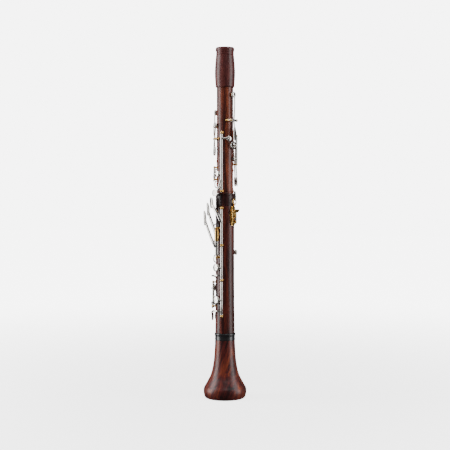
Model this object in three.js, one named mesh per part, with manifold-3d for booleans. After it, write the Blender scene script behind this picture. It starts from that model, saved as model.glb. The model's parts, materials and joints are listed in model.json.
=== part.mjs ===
// Soprano clarinet of the Boehm system, shown without its mouthpiece. Millimetres, +Z up the bore.
// The origin is the centre of the bell's bottom rim. The finger holes face -Y, the thumb side faces
// +Y and the player's left is +X. An "around" angle is in degrees: 0 is the front (-Y), 90 the
// player's left (+X), 180 the back (+Y) and 270 the player's right (-X). "out" is a distance from
// the bore's axis, and "up" is a height above the bell's rim.
import * as THREE from "three";
import { mergeVertices } from "three/addons/utils/BufferGeometryUtils.js";
import Module from "manifold-3d";

// Heights of the four wooden sections.
const BELL_TOP = 111;
const LOWER_TOP = 348.5;
const UPPER_TOP = 528;
const BARREL_TOP = 595.5;
const SEAM = 0.3;

// Radii of the wood and the bore.
const BORE = 7.35;
const UPPER_WOOD = 14;
const LOWER_WOOD = 15.8;
const LOWER_FOOT = 16.7;
const BELL_RIM = 32.5;
const BELL_WIDEST = 36.75;

// Tenons: depth and radius of the socket that each one fits.
const BARREL_TENON = { depth: 17, socket: 11.4 };
const MIDDLE_TENON = { depth: 21, socket: 11.6 };
const BELL_TENON = { depth: 23, socket: 12.6 };
const MOUTHPIECE_SOCKET = { depth: 17, radius: 11.2 };
const TENON_CLEARANCE = 0.4;
const CORK_THICKNESS = 1.2;
const CORK_GAP = 0.2;

// Key work: rods, tubes, posts and arms.
const ROD = 0.9;
const TUBE = 2;
const TUBE_BORE = 1.25;
const BALL = 2.3;
const STEM = 1.4;
const STEM_DEPTH = 3;
const STEM_CLEARANCE = 0.2;
const END_GAP = 0.35;
const ARM = 1.15;
const CUP_HEIGHT = 2;
const PAD_HEIGHT = 1.7;
const PAD_GAP = 0.25;

// Finger holes on the front: height, with the chimney that each ring sits round.
const UPPER_HOLES = [403, 384, 364];
const LOWER_HOLES = [290, 262, 237];
const UPPER_CHIMNEY = 15.4;
const LOWER_CHIMNEY = 17.3;
const CHIMNEY_RADIUS = 3.9;
const FINGER_HOLE = 2.9;

// Thumb rest on the back of the lower joint.
const REST_LOW = 294;
const REST_HIGH = 327;
const REST_FACE = 18.2;
const EYE_UP = 329.9;
const EYE_OUT = 19.6;
const STRAP_RING = 4.6;
const STRAP_WIRE = 0.9;
const SCREW_UP = 305.5;

const wasm = await Module();
wasm.setup();

const rosewood = new THREE.MeshStandardMaterial({ color: 0x5e2a20, roughness: 0.4, metalness: 0 });
const silver = new THREE.MeshStandardMaterial({ color: 0xe9e4da, roughness: 0.2, metalness: 1 });
const gold = new THREE.MeshStandardMaterial({ color: 0xd9ae6c, roughness: 0.25, metalness: 1 });
const ebonite = new THREE.MeshStandardMaterial({ color: 0x141213, roughness: 0.3, metalness: 0 });
const cork = new THREE.MeshStandardMaterial({ color: 0xb98a5a, roughness: 0.9, metalness: 0 });
const skin = new THREE.MeshStandardMaterial({ color: 0xf1e7d6, roughness: 0.7, metalness: 0 });

const group = new THREE.Group();

// ---------------------------------------------------------------- solids

function signedVolume(position, index) {
  const a = new THREE.Vector3();
  const b = new THREE.Vector3();
  const c = new THREE.Vector3();
  let total = 0;
  for (let i = 0; i < index.length; i += 3) {
    a.fromArray(position, index[i] * 3);
    b.fromArray(position, index[i + 1] * 3);
    c.fromArray(position, index[i + 2] * 3);
    total += a.dot(b.cross(c));
  }
  return total;
}

// Turns a closed three.js geometry into a solid, with its faces pointing out.
function solidOf(geometry) {
  geometry.deleteAttribute("normal");
  geometry.deleteAttribute("uv");
  const merged = mergeVertices(geometry, 1e-4);
  const position = merged.getAttribute("position").array;
  const corners = merged.index.array;
  const index = [];
  for (let i = 0; i < corners.length; i += 3) {
    const [a, b, c] = [corners[i], corners[i + 1], corners[i + 2]];
    if (a !== b && b !== c && c !== a) index.push(a, b, c);
  }
  if (signedVolume(position, index) < 0) index.reverse();
  const mesh = new wasm.Mesh({
    numProp: 3,
    vertProperties: new Float32Array(position),
    triVerts: Uint32Array.from(index),
  });
  return new wasm.Manifold(mesh);
}

function join(solids) {
  return solids.reduce((whole, next) => whole.add(next));
}

function cut(whole, tools) {
  return tools.reduce((left, tool) => left.subtract(tool), whole);
}

function addPart(name, solid, material) {
  const { vertProperties, triVerts } = solid.getMesh();
  const geometry = new THREE.BufferGeometry();
  geometry.setAttribute("position", new THREE.BufferAttribute(vertProperties, 3));
  geometry.setIndex(new THREE.BufferAttribute(triVerts, 1));
  geometry.computeVertexNormals();
  const mesh = new THREE.Mesh(geometry, material);
  mesh.name = name;
  group.add(mesh);
}

// A closed outline of [radius, height] pairs turned round the bore's axis.
function turned(outline, sides) {
  const points = outline.map(([radius, height]) => new THREE.Vector2(radius, height));
  points.push(points[0].clone());
  const geometry = new THREE.LatheGeometry(points, sides);
  geometry.rotateX(Math.PI / 2);
  return solidOf(geometry);
}

// Points along a smooth curve through a few [radius, height] pairs.
function smooth(pairs, steps) {
  const curve = new THREE.SplineCurve(pairs.map(([radius, height]) => new THREE.Vector2(radius, height)));
  return curve.getPoints(steps).map((point) => [point.x, point.y]);
}

// ---------------------------------------------------------------- places round the body

function outward(around) {
  const angle = THREE.MathUtils.degToRad(around);
  return new THREE.Vector3(Math.sin(angle), -Math.cos(angle), 0);
}

function sideways(around) {
  const angle = THREE.MathUtils.degToRad(around);
  return new THREE.Vector3(Math.cos(angle), Math.sin(angle), 0);
}

function place([around, out, up]) {
  return outward(around).multiplyScalar(out).setZ(up);
}

// Local axes at a place: x sideways, y up, z outward.
function axesAt(around, origin) {
  const matrix = new THREE.Matrix4();
  matrix.makeBasis(sideways(around), new THREE.Vector3(0, 0, 1), outward(around));
  return matrix.setPosition(origin);
}

function cylinderBetween(start, end, radius, sides) {
  const along = end.clone().sub(start);
  const geometry = new THREE.CylinderGeometry(radius, radius, along.length(), sides);
  const turn = new THREE.Quaternion();
  turn.setFromUnitVectors(new THREE.Vector3(0, 1, 0), along.clone().normalize());
  geometry.applyQuaternion(turn);
  const middle = start.clone().add(end).multiplyScalar(0.5);
  geometry.translate(middle.x, middle.y, middle.z);
  return solidOf(geometry);
}

// A round peg that points outward, from one distance to another.
function peg(around, up, from, to, radius, sides) {
  return cylinderBetween(place([around, from, up]), place([around, to, up]), radius, sides);
}

function ball(centre, radius) {
  const geometry = new THREE.SphereGeometry(radius, 6, 4);
  geometry.translate(centre.x, centre.y, centre.z);
  return solidOf(geometry);
}

// A round arm along a smooth curve through a few places.
function arm(places, radius = ARM) {
  const path = new THREE.CatmullRomCurve3(places.map(place));
  const section = new THREE.Shape();
  section.absarc(0, 0, radius, 0, Math.PI * 2, false);
  const steps = places.length * 2 - 1;
  const options = { extrudePath: path, steps, curveSegments: 3, bevelEnabled: false };
  return solidOf(new THREE.ExtrudeGeometry(section, options));
}

// A pebble-shaped finger touch, facing outward.
function touch([around, out, up], wide, tall, thick, tilt = 0) {
  const geometry = new THREE.SphereGeometry(1, 8, 4);
  geometry.rotateX(Math.PI / 2);
  geometry.scale(wide / 2, tall / 2, thick / 2);
  geometry.rotateX(THREE.MathUtils.degToRad(tilt));
  geometry.applyMatrix4(axesAt(around, place([around, out, up])));
  return solidOf(geometry);
}

// A flat finger ring whose hole faces outward.
function ring([around, out, up], outer, inner, thick) {
  const rim = peg(around, up, out, out + thick, outer, 14);
  return cut(rim, [peg(around, up, out - 1, out + thick + 1, inner, 12)]);
}

function cup(around, up, out, radius) {
  return peg(around, up, out, out + CUP_HEIGHT, radius, 10);
}

function pad(name, around, up, seat, radius) {
  addPart(name, peg(around, up, seat, seat + PAD_HEIGHT, radius - 0.5, 10), skin);
}

// ---------------------------------------------------------------- posts and hinges

const postSockets = { upper: [], lower: [] };

// A post's stem, from its ball down into the wood. The wood gets a socket for it.
function post(section, top, direction, woodDepth) {
  const foot = top.clone().addScaledVector(direction, -woodDepth);
  const hollow = foot.clone().addScaledVector(direction, -SEAM);
  postSockets[section].push(cylinderBetween(hollow, top, STEM + STEM_CLEARANCE, 6));
  return join([cylinderBetween(foot, top, STEM, 6), ball(top, BALL)]);
}

function woodRadius(section) {
  return section === "upper" ? UPPER_WOOD : LOWER_WOOD;
}

// Posts in a row along the body, with a rod through their balls. One end of the rod carries keys.
function uprightHinge(name, section, around, out, ups) {
  const depth = out - woodRadius(section) + STEM_DEPTH;
  const posts = ups.map((up) => post(section, place([around, out, up]), outward(around), depth));
  const low = place([around, out, Math.min(...ups)]);
  const high = place([around, out, Math.max(...ups)]);
  addPart(name, join([...posts, cylinderBetween(low, high, ROD, 6)]), gold);
}

// Two posts side by side, with a short rod across the body.
function crossHinge(name, section, around, out, up, half) {
  const surface = Math.sqrt(woodRadius(section) ** 2 - half ** 2);
  const tops = [-half, half].map((x) => place([around, out, up]).addScaledVector(sideways(around), x));
  const posts = tops.map((top) => post(section, top, outward(around), out - surface + STEM_DEPTH));
  addPart(name, join([...posts, cylinderBetween(tops[0], tops[1], ROD, 6)]), gold);
}

// A key on an upright rod: its tube between two heights, and its other pieces.
function uprightKey(name, around, out, low, high, pieces) {
  const start = place([around, out, low]);
  const end = place([around, out, high]);
  const tube = cylinderBetween(start, end, TUBE, 8);
  const clear = new THREE.Vector3(0, 0, 4);
  const bore = cylinderBetween(start.sub(clear), end.add(clear), TUBE_BORE, 6);
  addPart(name, cut(join([tube, ...pieces]), [bore]), silver);
}

// A key on a rod across the body: its tube between two sideways distances, and its other pieces.
function crossKey(name, around, out, up, left, right, pieces) {
  const across = sideways(around);
  const centre = place([around, out, up]);
  const start = centre.clone().addScaledVector(across, left);
  const end = centre.clone().addScaledVector(across, right);
  const tube = cylinderBetween(start, end, TUBE, 8);
  const boreStart = start.addScaledVector(across, -6);
  const boreEnd = end.addScaledVector(across, 6);
  const bore = cylinderBetween(boreStart, boreEnd, TUBE_BORE, 6);
  addPart(name, cut(join([tube, ...pieces]), [bore]), silver);
}

const TUBE_INSET = BALL + END_GAP;

// ---------------------------------------------------------------- upper joint keys

const REGISTER = { around: 180, out: 17.4, up: 472, half: 9.5 };

function registerKey() {
  const { around, out, up, half } = REGISTER;
  crossHinge("register_hinge", "upper", around, out, up, half);
  crossKey("register_key", around, out, up, -half + TUBE_INSET, half - TUBE_INSET, [
    arm([[around, 18.2, up], [around, 19.2, 492], [around, 19, 513]]),
    cup(around, 515, 17.6, 4.8),
    arm([[around, 18.2, up], [around, 19.2, 464], [around, 20, 455]]),
    touch([around, 20.4, 449], 8.5, 24, 2.4, -4),
  ]);
  pad("register_pad", around, 515, 17.6 - PAD_GAP - PAD_HEIGHT, 4.8);
  const tube = peg(around, 515, 8.2, 15.3, 3, 14);
  addPart("register_tube", cut(tube, [peg(around, 515, 7, 17, 1.5, 10)]), gold);
}

const THUMB = { around: 207, out: 19.5, low: 398, high: 446 };

function thumbRingKey() {
  const { around, out, low, high } = THUMB;
  uprightHinge("thumb_ring_hinge", "upper", around, out, [low, high]);
  uprightKey("thumb_ring_key", around, out, low + TUBE_INSET, high - TUBE_INSET, [
    arm([[around, 20.2, 430], [201, 19.4, 430], [196, 17.6, 430]]),
    ring([180, 16.3, 430], 6.9, 4.5, 1.5),
    arm([[around, 20.2, 407], [200, 19.8, 407], [194, 18.4, 407]]),
    cup(193, 407, 17.2, 4.6),
  ]);
  pad("thumb_ring_pad", 193, 407, 17.2 - PAD_GAP - PAD_HEIGHT, 4.6);
  const tube = peg(180, 430, 8.2, 15.6, 4.1, 16);
  addPart("thumb_tube", cut(tube, [peg(180, 430, 7, 17, 2.7, 12)]), silver);
}

const THROAT = [
  { name: "throat_a", around: 8, up: 462, half: 6, padUp: 486, touchUp: 421, touchOut: 19.6 },
  { name: "throat_g_sharp", around: 52, up: 441, half: 5.2, padUp: 464, touchUp: 421, touchOut: 19.4 },
];
const THROAT_OUT = 17.6;

function throatKeys() {
  for (const { name, around, up, half, padUp, touchUp, touchOut } of THROAT) {
    crossHinge(`${name}_hinge`, "upper", around, THROAT_OUT, up, half);
    crossKey(`${name}_key`, around, THROAT_OUT, up, -half + TUBE_INSET, half - TUBE_INSET, [
      arm([[around, 18.2, up], [around, 18.9, (up + padUp) / 2], [around, 18.6, padUp]]),
      cup(around, padUp, 17.3, 4.8),
      arm([[around, 18.2, up], [around, 19.2, (up + touchUp) / 2], [around, touchOut, touchUp]]),
      touch([around, touchOut, touchUp], 7, 16, 2.4),
    ]);
  }
  pad("throat_a_pad", THROAT[0].around, THROAT[0].padUp, 17.3 - PAD_GAP - PAD_HEIGHT, 4.8);
}

const UPPER_RINGS = { around: 320, out: 19.2, low: 356, high: 413 };

function upperRingKey() {
  const { around, out, low, high } = UPPER_RINGS;
  uprightHinge("upper_ring_hinge", "upper", around, out, [low, high]);
  const rings = UPPER_HOLES.slice(1).flatMap((up) => [
    ring([0, 16.6, up], 6.7, 4.9, 1.5),
    arm([[around, 20, up], [329, 19.8, up], [342, 18.3, up]]),
  ]);
  uprightKey("upper_ring_key", around, out, low + TUBE_INSET, high - TUBE_INSET, [
    ...rings,
    arm([[around, 20, 398], [328, 19.6, 398], [334, 18.6, 398]]),
    cup(337, 398, 17.3, 4.3),
    arm([[around, 19.8, 365], [328, 21.8, 358], [334, 22.4, 350], [335, 22.4, 342]]),
  ]);
  pad("upper_ring_pad", 337, 398, 17.3 - PAD_GAP - PAD_HEIGHT, 4.3);
}

const CROSS = { around: 107, out: 19.3, low: 352.5, high: 451 };

function crossingKey() {
  const { around, out, low, high } = CROSS;
  uprightHinge("c_sharp_hinge", "upper", around, out, [low, high]);
  uprightKey("c_sharp_key", around, out, low + TUBE_INSET, high - TUBE_INSET, [
    arm([[around, 20, 441], [122, 20.4, 441], [137, 19.6, 441], [145, 18.6, 441]]),
    cup(147, 441, 17.3, 4.6),
    arm([[around, 19.8, 372], [97, 21.2, 362], [88, 22.2, 352]]),
    arm([[around, 19.8, 359], [97, 21.6, 355], [84, 22.2, 351]]),
    touch([74, 22.3, 349.5], 13, 11, 2.4),
  ]);
  pad("c_sharp_pad", 147, 441, 17.3 - PAD_GAP - PAD_HEIGHT, 4.6);
}

const SLIVER = { around: 50, out: 18.3, low: 372.5, high: 392.5 };

function leftSliverKey() {
  const { around, out, low, high } = SLIVER;
  uprightHinge("left_sliver_hinge", "upper", around, out, [low, high]);
  uprightKey("left_sliver_key", around, out, low + TUBE_INSET, high - TUBE_INSET, [
    arm([[around, 19, 382], [62, 19.8, 382], [76, 18.8, 382]]),
    cup(80, 382, 17.3, 5),
    arm([[around, 19, 378], [41, 19.6, 377], [33, 19.3, 375]]),
    touch([31, 19.2, 375], 4.6, 13, 2.2),
  ]);
  pad("left_sliver_pad", 80, 382, 17.3 - PAD_GAP - PAD_HEIGHT, 5);
}

const SIDE_OUT = 17.8;
const SIDE_HALF = 6.5;
const SIDE_TOUCH_OUT = 21;
const SIDE_PAIRS = [
  { hinge: "side_hinge_upper", around: 243, up: 406, keys: ["side_key_1", "side_key_2"],
    pads: [[240, 428], [259, 446]], touches: [[231, 369], [250, 369]] },
  { hinge: "side_hinge_lower", around: 283, up: 388, keys: ["side_key_3", "side_key_4"],
    pads: [[276, 424], [296, 446]], touches: [[250, 344], [269, 344]] },
];

function sideKeys() {
  for (const { hinge, around, up, keys, pads, touches } of SIDE_PAIRS) {
    crossHinge(hinge, "upper", around, SIDE_OUT, up, SIDE_HALF);
    keys.forEach((name, i) => {
      const sign = i === 0 ? -1 : 1;
      const lever = around + sign * 7.5;
      const inner = sign * END_GAP / 2;
      const outer = sign * (SIDE_HALF - TUBE_INSET);
      const [padAround, padUp] = pads[i];
      const [touchAround, touchUp] = touches[i];
      crossKey(name, around, SIDE_OUT, up, Math.min(inner, outer), Math.max(inner, outer), [
        arm([[lever, 18.8, up], [padAround, 19, padUp - 10], [padAround, 18.6, padUp]]),
        cup(padAround, padUp, 17.3, 4.1),
        arm([[lever, 18.8, up], [lever, 20, up - 12], [touchAround, 21, touchUp]]),
        touch([touchAround, SIDE_TOUCH_OUT, touchUp], 6, 17, 2.2),
      ]);
    });
  }
}

// ---------------------------------------------------------------- lower joint keys

const LONG = { around: 108, out: 20.5, ups: [324, 261, 202, 141] };
const LEVER = { around: 84, out: 21.5, ups: [290, 241] };
const LOW_PAD = 76;
const LOW_CUP_OUT = 19.9;

function longKeys() {
  const { around, out, ups } = LONG;
  uprightHinge("long_hinge", "lower", around, out, ups);
  uprightKey("lever_inner", around, out, ups[1] + TUBE_INSET, ups[0] - TUBE_INSET, [
    arm([[around, 21.4, 300], [94, 23.6, 312], [76, 24.6, 325], [62, 24.9, 332]], 1.5),
    touch([60, 25, 333], 9, 17, 2.4),
  ]);
  uprightKey("low_f_key", around, out, ups[2] + TUBE_INSET, ups[1] - TUBE_INSET, [
    arm([[around, 21.2, 223], [94, 22.4, 223], [80, 21.6, 223]]),
    cup(LOW_PAD, 223, LOW_CUP_OUT, 6.7),
    arm([[around, 21.2, 210], [85, 22.2, 210], [55, 22.2, 209], [25, 22.2, 208], [355, 22.2, 206],
      [337, 22.2, 198], [333, 22.2, 180], [339, 22.4, 162]]),
    touch([345, 22.8, 158], 8, 13, 2.4),
  ]);
  pad("low_f_pad", LOW_PAD, 223, LOW_CUP_OUT - PAD_GAP - PAD_HEIGHT, 6.7);
  uprightKey("low_e_key", around, out, ups[3] + TUBE_INSET, ups[2] - TUBE_INSET, [
    arm([[around, 21.2, 168], [94, 22.4, 168], [80, 21.6, 168]]),
    cup(LOW_PAD, 168, LOW_CUP_OUT, 7.3),
    arm([[around, 21.2, 149.5], [85, 22.2, 149.5], [60, 22.4, 149], [38, 22.6, 146], [22, 22.8, 141]]),
    touch([14, 22.8, 138], 8, 14, 2.4),
  ]);
  pad("low_e_pad", LOW_PAD, 168, LOW_CUP_OUT - PAD_GAP - PAD_HEIGHT, 7.3);
}

function leftLevers() {
  const { around, out, ups } = LEVER;
  const middle = (ups[0] + ups[1]) / 2 + 2.5;
  uprightHinge("lever_hinge", "lower", around, out, ups);
  uprightKey("lever_middle", around, out, middle + END_GAP / 2, ups[0] - TUBE_INSET, [
    arm([[around, 22.4, 278], [72, 26.2, 296], [58, 29, 313], [53, 29.6, 320]], 1.4),
    touch([52, 29.8, 322], 9, 20, 2.4),
  ]);
  uprightKey("lever_outer", around, out, ups[1] + TUBE_INSET, middle - END_GAP / 2, [
    arm([[around, 22.4, 256], [70, 27.6, 272], [56, 33, 295], [51, 34, 304]], 1.4),
    touch([50, 34.4, 307], 9, 24, 2.4),
  ]);
}

const LOW_FSHARP = { around: 45, out: 20.2, low: 157, high: 198 };

function lowFSharpKey() {
  const { around, out, low, high } = LOW_FSHARP;
  uprightHinge("low_f_sharp_hinge", "lower", around, out, [low, high]);
  uprightKey("low_f_sharp_key", around, out, low + TUBE_INSET, high - TUBE_INSET, [
    arm([[around, 21, 187], [28, 22, 187], [6, 21.6, 187]]),
    cup(0, 187, LOW_CUP_OUT, 5.6),
    arm([[around, 21, 164], [34, 22.6, 162], [22, 23, 160]]),
    touch([14, 22.8, 158], 8, 13, 2.4),
  ]);
  pad("low_f_sharp_pad", 0, 187, LOW_CUP_OUT - PAD_GAP - PAD_HEIGHT, 5.6);
}

const LOW_GSHARP = { around: 322, out: 20.5, low: 122, high: 148 };

function lowGSharpKey() {
  const { around, out, low, high } = LOW_GSHARP;
  uprightHinge("low_g_sharp_hinge", "lower", around, out, [low, high]);
  uprightKey("low_g_sharp_key", around, out, low + TUBE_INSET, high - TUBE_INSET, [
    arm([[around, 21.2, 135], [308, 21.8, 135], [293, 21, 135]]),
    cup(289, 135, 19.4, 6.2),
    arm([[around, 21.2, 138], [332, 22.4, 138], [341, 22.8, 138]]),
    touch([345, 22.8, 138], 8, 14, 2.4),
  ]);
  pad("low_g_sharp_pad", 289, 135, 19.4 - PAD_GAP - PAD_HEIGHT, 6.2);
}

const LOWER_RINGS = { around: 305, out: 20.6, low: 226, high: 322 };

function lowerRingKey() {
  const { around, out, low, high } = LOWER_RINGS;
  uprightHinge("lower_ring_hinge", "lower", around, out, [low, high]);
  const rings = LOWER_HOLES.flatMap((up) => [
    ring([0, 18.6, up], 7.2, 5.2, 1.5),
    arm([[around, 21.4, up], [322, 21.6, up], [342, 20.1, up]]),
  ]);
  uprightKey("lower_ring_key", around, out, low + TUBE_INSET, high - TUBE_INSET, [
    ...rings,
    arm([[around, 21.4, 310], [322, 21.8, 310], [338, 20.8, 310]]),
    cup(342, 310, 19.5, 5.4),
    arm([[around, 21.2, 312], [318, 21.8, 320], [328, 20.6, 332], [334, 19, 341]], 1),
  ]);
  pad("lower_ring_pad", 342, 310, 19.5 - PAD_GAP - PAD_HEIGHT, 5.4);
}

const RIGHT_SLIVER = { around: 262, out: 20, low: 234, high: 262 };

function rightSliverKey() {
  const { around, out, low, high } = RIGHT_SLIVER;
  uprightHinge("right_sliver_hinge", "lower", around, out, [low, high]);
  uprightKey("right_sliver_key", around, out, low + TUBE_INSET, high - TUBE_INSET, [
    arm([[around, 20.8, 248], [248, 21.4, 248], [238, 20.6, 248]]),
    cup(235, 248, 19.2, 4.6),
    arm([[around, 20.8, 251], [272, 21.4, 251], [281, 21.4, 251]]),
    touch([283, 21.3, 251], 4.8, 15, 2.2),
  ]);
}

// ---------------------------------------------------------------- thumb rest

function box(low, high) {
  const size = high.map((value, i) => value - low[i]);
  const geometry = new THREE.BoxGeometry(...size);
  geometry.translate(...low.map((value, i) => value + size[i] / 2));
  return solidOf(geometry);
}

function thumbRest() {
  const eye = cylinderBetween(new THREE.Vector3(-3, EYE_OUT, EYE_UP), new THREE.Vector3(3, EYE_OUT, EYE_UP),
    1.5, 12);
  const body = cylinderBetween(new THREE.Vector3(0, 0, 280), new THREE.Vector3(0, 0, 345),
    LOWER_WOOD + SEAM, 64);
  const screwHole = peg(180, SCREW_UP, 10, 20, 1.5, 12);
  const base = join([box([-7.5, 11, REST_LOW], [7.5, REST_FACE, REST_HIGH]),
    box([-1.2, 15, REST_HIGH - 2], [1.2, EYE_OUT + 2.4, EYE_UP + 2.7])]);
  addPart("thumb_rest_plate", cut(base, [body, eye, screwHole]), gold);

  const front = REST_FACE + SEAM;
  const profile = new THREE.Shape();
  profile.moveTo(front, 297.5);
  profile.lineTo(front + 1.8, 297.5);
  profile.lineTo(front + 1.8, 316);
  profile.quadraticCurveTo(front + 5, 316, front + 8, 321);
  profile.lineTo(front + 6.6, 322.2);
  profile.quadraticCurveTo(front + 4, 318.6, front + 1.8, 318.6);
  profile.lineTo(front + 1.8, 322);
  profile.lineTo(front, 322);
  const hook = new THREE.ExtrudeGeometry(profile, { depth: 13, curveSegments: 6, bevelEnabled: false });
  hook.applyMatrix4(new THREE.Matrix4().makeBasis(
    new THREE.Vector3(0, 1, 0), new THREE.Vector3(0, 0, 1), new THREE.Vector3(1, 0, 0)));
  hook.translate(-6.5, 0, 0);
  const slot = box([-1.6, front - 1, 300.5], [1.6, front + 3, 310.5]);
  addPart("thumb_hook", cut(solidOf(hook), [slot]), gold);

  const loop = new THREE.TorusGeometry(STRAP_RING, STRAP_WIRE, 6, 16);
  loop.rotateX(Math.PI / 2);
  loop.translate(0, EYE_OUT, EYE_UP + STRAP_RING);
  addPart("strap_ring", solidOf(loop), gold);

  const screw = join([peg(180, SCREW_UP, 16.8, 21.5, 1.1, 10), peg(180, SCREW_UP, 20.7, 22.6, 3, 14)]);
  addPart("thumb_screw", cut(screw, [box([-4, 21.9, SCREW_UP - 0.4], [4, 24, SCREW_UP + 0.4])]), silver);
}

// ---------------------------------------------------------------- wooden sections

function bell() {
  const outside = [
    [BELL_RIM, 0],
    ...smooth([[34.4, 1.6], [36.3, 7], [BELL_WIDEST, 12.5], [36, 17], [33.2, 22], [29.4, 29], [25.6, 36],
      [22.9, 44], [20.6, 54], [18.7, 68], [17.7, 82], [17, 98]], 12),
  ];
  const neck = [[17, BELL_TOP - 12.2], [16, BELL_TOP - 12.2], [16, BELL_TOP - 0.5]];
  const socketFloor = BELL_TOP - BELL_TENON.depth;
  const inside = [
    [BELL_TENON.socket, BELL_TOP - 0.5],
    [BELL_TENON.socket, socketFloor],
    ...smooth([[8, socketFloor - 0.1], [9, 66], [11.6, 48], [16, 33], [22.5, 18], [29.3, 0]], 7),
  ];
  addPart("bell", turned([...outside, ...neck, ...inside], 28), rosewood);
  const low = BELL_TOP - 12;
  addPart("bell_ring", turned([[16.3, low], [17.2, low], [17.3, BELL_TOP - 4.4], [17.9, BELL_TOP - 3.6],
    [17.9, BELL_TOP - 1], [17.3, BELL_TOP - 0.3], [16.3, BELL_TOP - 0.3]], 28), ebonite);
}

// A ring of cork in a tenon's groove.
function tenonCork(name, tenon, low, high) {
  const outer = tenon.socket - CORK_GAP;
  const inner = outer - CORK_THICKNESS;
  addPart(name, turned([[inner, low], [outer, low + 0.5], [outer, high - 0.5], [inner, high]], 24), cork);
}

// Outline of a tenon's wood with its groove, from the shoulder to the tip. It may point up or down.
function tenonOutline(tenon, shoulder, direction) {
  const radius = tenon.socket - TENON_CLEARANCE;
  const groove = tenon.socket - 2 * CORK_GAP - CORK_THICKNESS;
  const tip = shoulder + direction * (tenon.depth - SEAM);
  return [
    [radius, shoulder],
    [radius, shoulder + direction * 3],
    [groove, shoulder + direction * 3],
    [groove, tip - direction * 2.5],
    [radius, tip - direction * 2.5],
    [radius, tip],
    [BORE, tip],
  ];
}

function chimneys(holes, from, to) {
  return holes.map((up) => peg(0, up, from, to, CHIMNEY_RADIUS, 10));
}

// A hole through the wall of one joint, under a finger or a pad.
function toneHole([around, up, radius]) {
  return peg(around, up, 4, 20, radius, 8);
}

const UPPER_TONE_HOLES = [
  ...UPPER_HOLES.map((up) => [0, up, FINGER_HOLE]),
  [THROAT[0].around, THROAT[0].padUp, 3],
  [THROAT[1].around, THROAT[1].padUp, 3],
  [193, 407, 2.8],
  [337, 398, 2.6],
  [147, 441, 2.8],
  [80, 382, 3],
  ...SIDE_PAIRS.flatMap(({ pads }) => pads.map(([around, up]) => [around, up, 2.4])),
];

const LOWER_TONE_HOLES = [
  ...LOWER_HOLES.map((up) => [0, up, FINGER_HOLE + 0.4]),
  [LOW_PAD, 223, 4.2],
  [LOW_PAD, 168, 5],
  [0, 187, 3.8],
  [289, 135, 4.2],
  [342, 310, 3.4],
  [235, 248, 2.8],
];

function upperJoint() {
  const bottom = LOWER_TOP + SEAM;
  const outline = [
    [BORE, bottom - MIDDLE_TENON.depth + SEAM],
    ...tenonOutline(MIDDLE_TENON, bottom, -1).slice(0, -1).reverse(),
    [UPPER_WOOD + 0.3, bottom],
    [UPPER_WOOD, bottom + 4],
    [UPPER_WOOD, UPPER_TOP],
    ...tenonOutline(BARREL_TENON, UPPER_TOP, 1),
  ];
  const wood = join([turned(outline, 24), ...chimneys(UPPER_HOLES, 12, UPPER_CHIMNEY)]);
  const register = peg(180, 515, 4, 20, 3.2, 14);
  const thumb = peg(180, 430, 4, 20, 4.3, 16);
  addPart("upper_joint", cut(wood, [...UPPER_TONE_HOLES.map(toneHole), register, thumb,
    ...postSockets.upper]), rosewood);
  tenonCork("middle_tenon_cork", MIDDLE_TENON, bottom - MIDDLE_TENON.depth + 3.3, bottom - 3.3);
  tenonCork("barrel_tenon_cork", BARREL_TENON, UPPER_TOP + 3.3, UPPER_TOP + BARREL_TENON.depth - 3.2);
}

function lowerJoint() {
  const bottom = BELL_TOP;
  const top = LOWER_TOP;
  const outline = [
    [BORE, bottom - BELL_TENON.depth + SEAM],
    ...tenonOutline(BELL_TENON, bottom, -1).slice(0, -1).reverse(),
    [LOWER_FOOT, bottom],
    [LOWER_FOOT - 0.1, 122],
    [LOWER_WOOD + 0.2, 160],
    [LOWER_WOOD, 230],
    [LOWER_WOOD, 326],
    [LOWER_WOOD + 0.1, top - 1],
    [LOWER_WOOD - 0.8, top],
    [MIDDLE_TENON.socket, top],
    [MIDDLE_TENON.socket, top - MIDDLE_TENON.depth],
    [BORE, top - MIDDLE_TENON.depth],
  ];
  const wood = join([turned(outline, 24), ...chimneys(LOWER_HOLES, 14, LOWER_CHIMNEY)]);
  addPart("lower_joint", cut(wood, [...LOWER_TONE_HOLES.map(toneHole), ...postSockets.lower]), rosewood);
  const low = bottom - BELL_TENON.depth + 3.2;
  tenonCork("bell_tenon_cork", BELL_TENON, low, bottom - 3.3);
}

function barrel() {
  const bottom = UPPER_TOP + SEAM;
  const outline = [
    [BARREL_TENON.socket, bottom],
    [15.7, bottom],
    ...smooth([[15.9, bottom + 0.6], [16.9, 540], [17.3, 553], [16.6, 568], [15.4, 581]], 6),
    [15, 582.7],
    [15, 586.5],
    [15.2, 589],
    ...smooth([[15.6, 590], [15.9, 592.6], [14.9, BARREL_TOP]], 4),
    [MOUTHPIECE_SOCKET.radius, BARREL_TOP],
    [MOUTHPIECE_SOCKET.radius, BARREL_TOP - MOUTHPIECE_SOCKET.depth],
    [BORE, BARREL_TOP - MOUTHPIECE_SOCKET.depth],
    [BORE, bottom + BARREL_TENON.depth],
    [BARREL_TENON.socket, bottom + BARREL_TENON.depth],
  ];
  addPart("barrel", turned(outline, 24), rosewood);
}

registerKey();
thumbRingKey();
throatKeys();
upperRingKey();
crossingKey();
leftSliverKey();
sideKeys();
longKeys();
leftLevers();
lowFSharpKey();
lowGSharpKey();
lowerRingKey();
rightSliverKey();
thumbRest();
bell();
upperJoint();
lowerJoint();
barrel();

export default group;
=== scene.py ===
"""Finished look of a soprano clarinet in figured rosewood, with silver keys on gold posts.

The scene is in metres. The numbers of the instrument's pieces are in millimetres and degrees, and
place() or MM turns them into metres. The stage, lights and camera are in metres. "around" is 0 at the
finger-hole side (-Y), 90 at the player's left (+X) and 180 at the thumb side (+Y); "out" is a distance
from the bore's axis; "up" is a height above the bell's rim.
"""
import json
import math

import bmesh
import bpy
from mathutils import Matrix, Vector


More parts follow.
